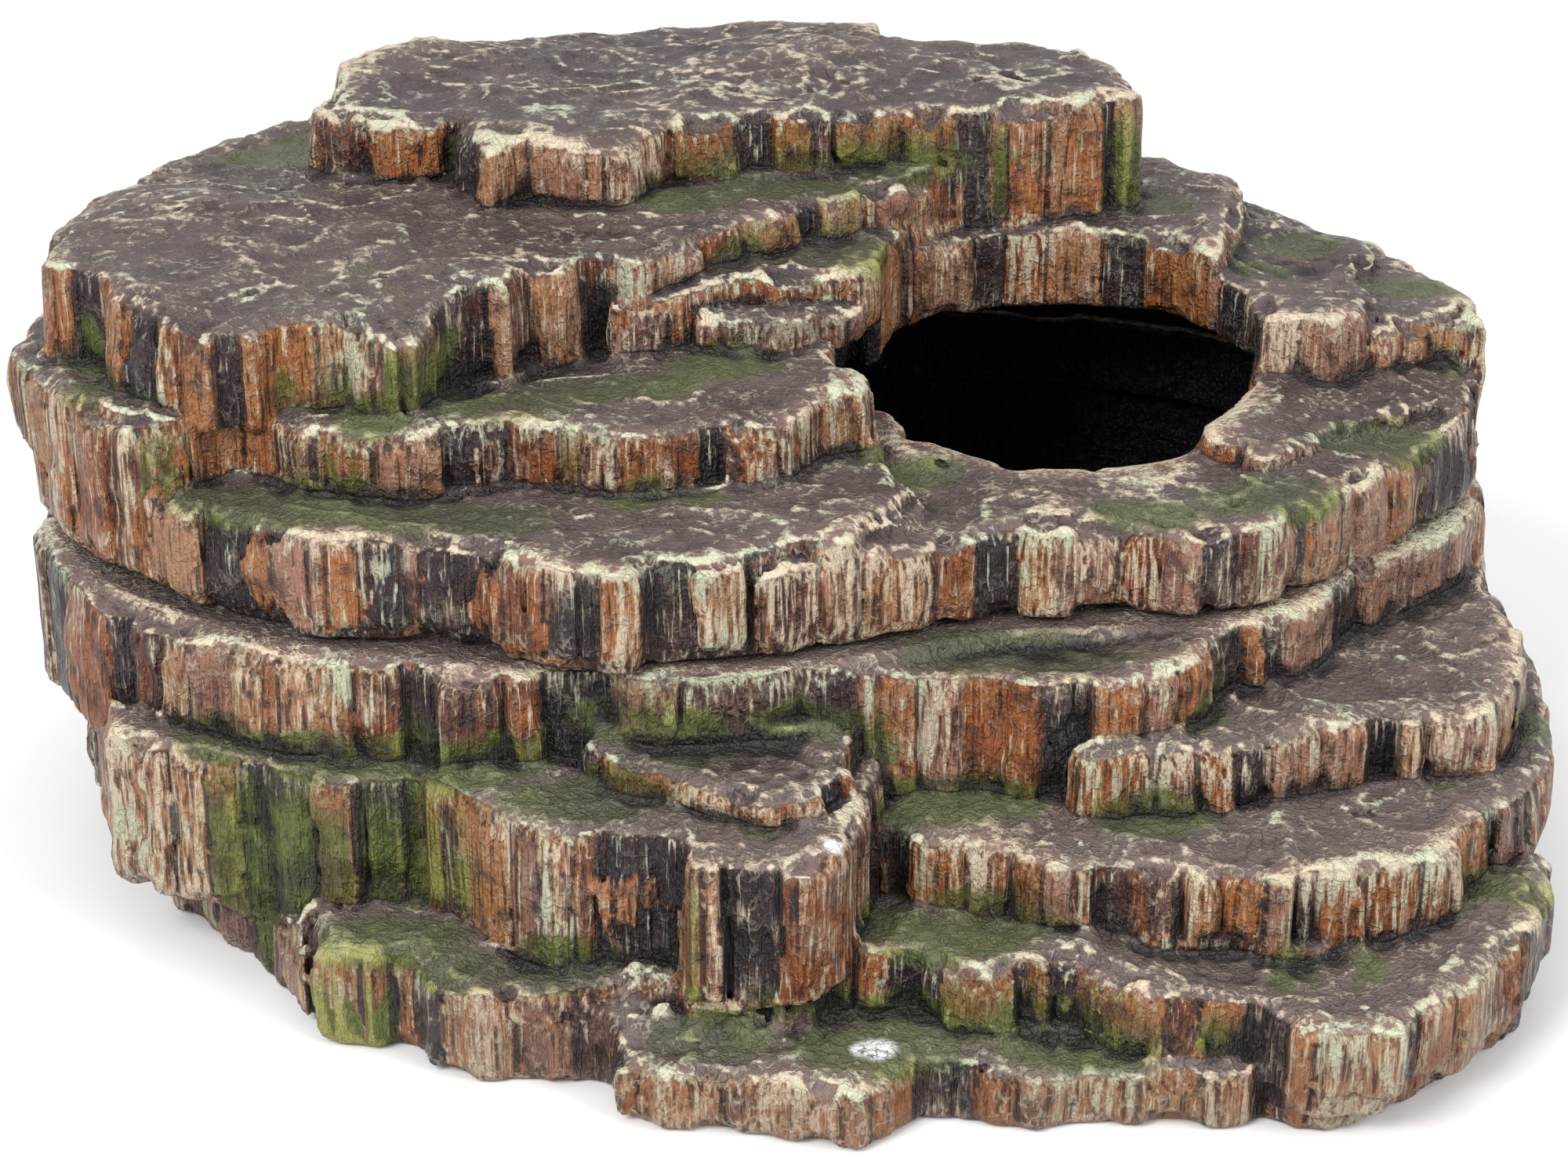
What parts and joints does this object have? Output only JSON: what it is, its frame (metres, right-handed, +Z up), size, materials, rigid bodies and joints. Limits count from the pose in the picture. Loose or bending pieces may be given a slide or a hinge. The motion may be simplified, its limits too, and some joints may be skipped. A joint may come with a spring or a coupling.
{
  "type": "resin cave ornament",
  "caption": "Hollow stepped-rock hide cave in painted resin: a closed tray-like base and a lift-off terraced lid with a round entrance in its top.",
  "frame": {"origin": "middle of the footprint's bounding box, on the flat underside of the base", "axes": "+X along the long side, towards the end with the entrance; the terraces step down towards -Y; +Z up"},
  "size_m": [0.2546, 0.208, 0.114],
  "materials": {
    "base_resin": "hand-painted cast resin, satin, rust and ochre rises with moss-green washes",
    "lid_resin": "hand-painted cast resin, satin, mauve-brown treads dry-brushed in cream"
  },
  "bodies": {
    "base": {"base_shell": "base_resin"},
    "lid": {"lid_shell": "lid_resin"}
  },
  "joints": [
    {"name": "lid_lift", "type": "slide", "parent": "base", "child": "lid", "axis": [0, 0, 1], "range_m": [0, 0.12]}
  ]
}
